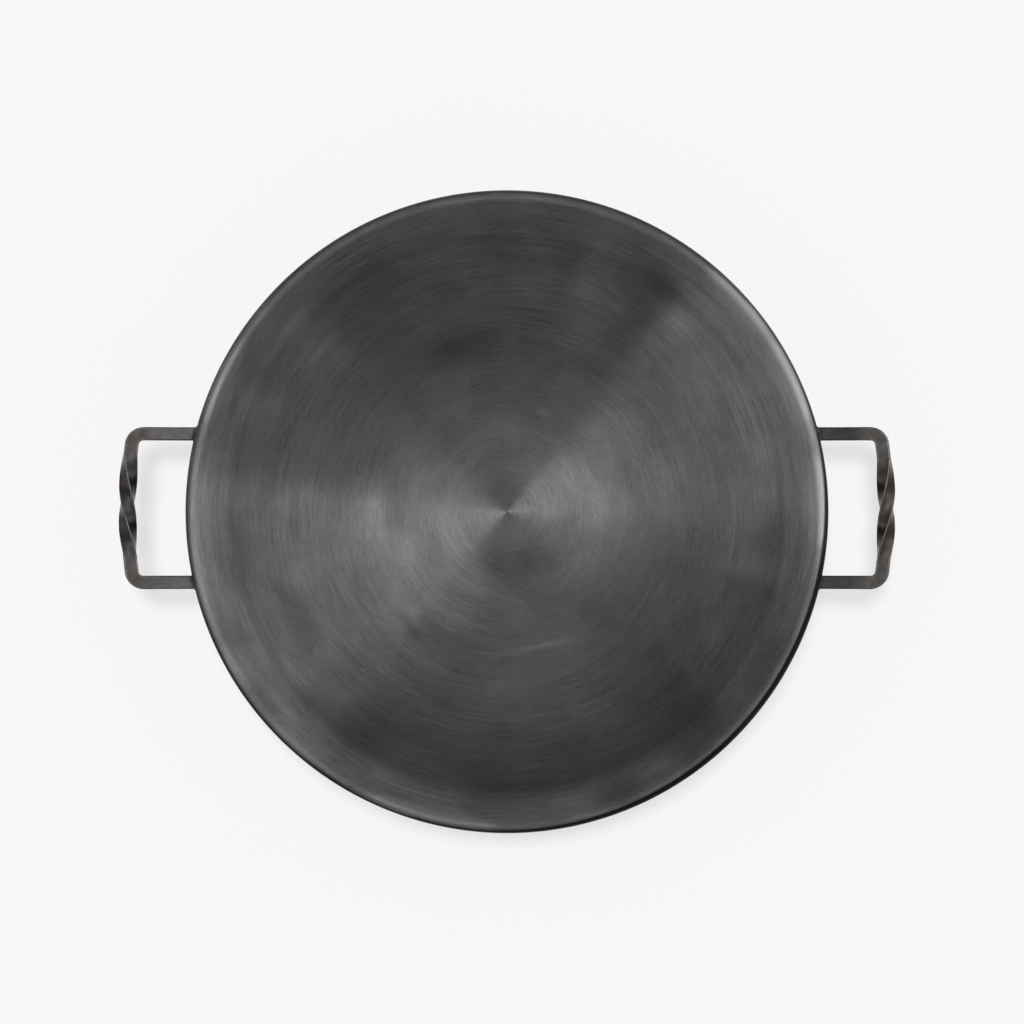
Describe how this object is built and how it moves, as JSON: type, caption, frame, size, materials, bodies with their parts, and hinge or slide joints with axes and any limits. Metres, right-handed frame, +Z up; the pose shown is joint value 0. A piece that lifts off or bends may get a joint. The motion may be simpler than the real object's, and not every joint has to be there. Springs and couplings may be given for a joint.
{
  "type": "two-handled wok",
  "caption": "Wide shallow wok of spun brushed steel with a flared brim, a turned-down lip and loop handles of twisted square bar welded under the rim.",
  "frame": {"origin": "centre of the flat base, on the surface that the wok stands on", "axes": "+Z up out of the bowl, +X along the line through both handles, +Y towards the rear"},
  "size_m": [0.556, 0.46, 0.0841],
  "materials": {
    "bowl_steel": "dark carbon steel, brushed in fine circles, faintly smudged",
    "handle_steel": "dark forged bar with a warm brown-black scale, rubbed bright on its edges",
    "weld_steel": "rippled weld bead, dark with heat"
  },
  "bodies": {
    "root": {"bowl": "bowl_steel", "handle_right": "handle_steel", "handle_left": "handle_steel", "lip_weld_right_rear": "weld_steel", "lip_weld_right_front": "weld_steel", "lip_weld_left_rear": "weld_steel", "lip_weld_left_front": "weld_steel", "wall_weld_right_rear": "weld_steel", "wall_weld_right_front": "weld_steel", "wall_weld_left_rear": "weld_steel", "wall_weld_left_front": "weld_steel"}
  },
  "joints": []
}
